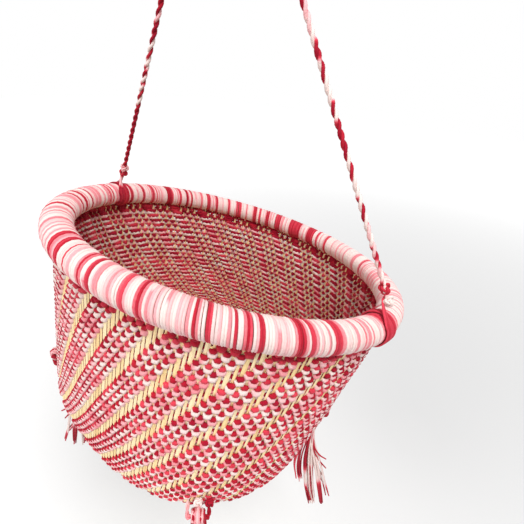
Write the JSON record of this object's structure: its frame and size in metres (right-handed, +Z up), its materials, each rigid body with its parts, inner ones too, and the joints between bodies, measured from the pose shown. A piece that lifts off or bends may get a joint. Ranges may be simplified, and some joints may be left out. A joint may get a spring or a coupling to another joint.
{
  "type": "hanging palm basket",
  "caption": "Round open basket woven of palm splints and yarn, with a yarn-wrapped rim, corner tassels and a twisted cord with a loop to hang it by.",
  "frame": {"origin": "inside top of the hanging loop, where a hook carries it", "axes": "+Z up along the plumb line, +X to the right along the plane of the cord's two legs, -Y the basket's lower front side"},
  "size_m": [0.2501, 0.2514, 0.5232],
  "materials": {
    "palm_and_yarn_weave": "matte",
    "palm_weave": "matte",
    "palm_fibre": "matte",
    "space_dyed_yarn": "matte"
  },
  "bodies": {
    "cord": {"top_loop": "space_dyed_yarn", "top_knot": "space_dyed_yarn", "cord_leg_left": "space_dyed_yarn", "cord_leg_right": "space_dyed_yarn", "cord_knot_left": "space_dyed_yarn", "cord_knot_right": "space_dyed_yarn"},
    "basket": {"rim_core": "palm_fibre", "rim_wrap": "space_dyed_yarn", "woven_wall": "palm_and_yarn_weave", "woven_base": "palm_weave", "rim_tie_left": "space_dyed_yarn", "rim_tie_right": "space_dyed_yarn", "corner_tie_1": "space_dyed_yarn", "corner_tie_2": "space_dyed_yarn", "corner_tie_3": "space_dyed_yarn", "corner_tie_4": "space_dyed_yarn"},
    "tassel_1": {"tassel_knot_1": "space_dyed_yarn", "tassel_skirt_1": "space_dyed_yarn"},
    "tassel_2": {"tassel_knot_2": "space_dyed_yarn", "tassel_skirt_2": "space_dyed_yarn"},
    "tassel_3": {"tassel_knot_3": "space_dyed_yarn", "tassel_skirt_3": "space_dyed_yarn"},
    "tassel_4": {"tassel_knot_4": "space_dyed_yarn", "tassel_skirt_4": "space_dyed_yarn"}
  },
  "joints": [
    {"name": "basket_swing", "type": "hinge", "parent": "cord", "child": "basket", "pos_m": [-0.10311, 0, -0.2141], "axis": [0.996, 0, -0.0898], "range_deg": [-75, 75]},
    {"name": "tassel_swing_1", "type": "hinge", "parent": "basket", "child": "tassel_1", "pos_m": [0.07187, -0.10014, -0.35143], "axis": [-0.7367, -0.6346, 0.2334], "range_deg": [-20, 80]},
    {"name": "tassel_swing_2", "type": "hinge", "parent": "basket", "child": "tassel_2", "pos_m": [0.09379, 0.0368, -0.38944], "axis": [0.4877, -0.8541, 0.1808], "range_deg": [-20, 80]},
    {"name": "tassel_swing_3", "type": "hinge", "parent": "basket", "child": "tassel_3", "pos_m": [-0.08386, 0.0694, -0.38201], "axis": [0.7367, 0.6346, -0.2334], "range_deg": [-20, 80]},
    {"name": "tassel_swing_4", "type": "hinge", "parent": "basket", "child": "tassel_4", "pos_m": [-0.09154, -0.08905, -0.33962], "axis": [-0.6706, 0.73, -0.1317], "range_deg": [-20, 80]}
  ]
}
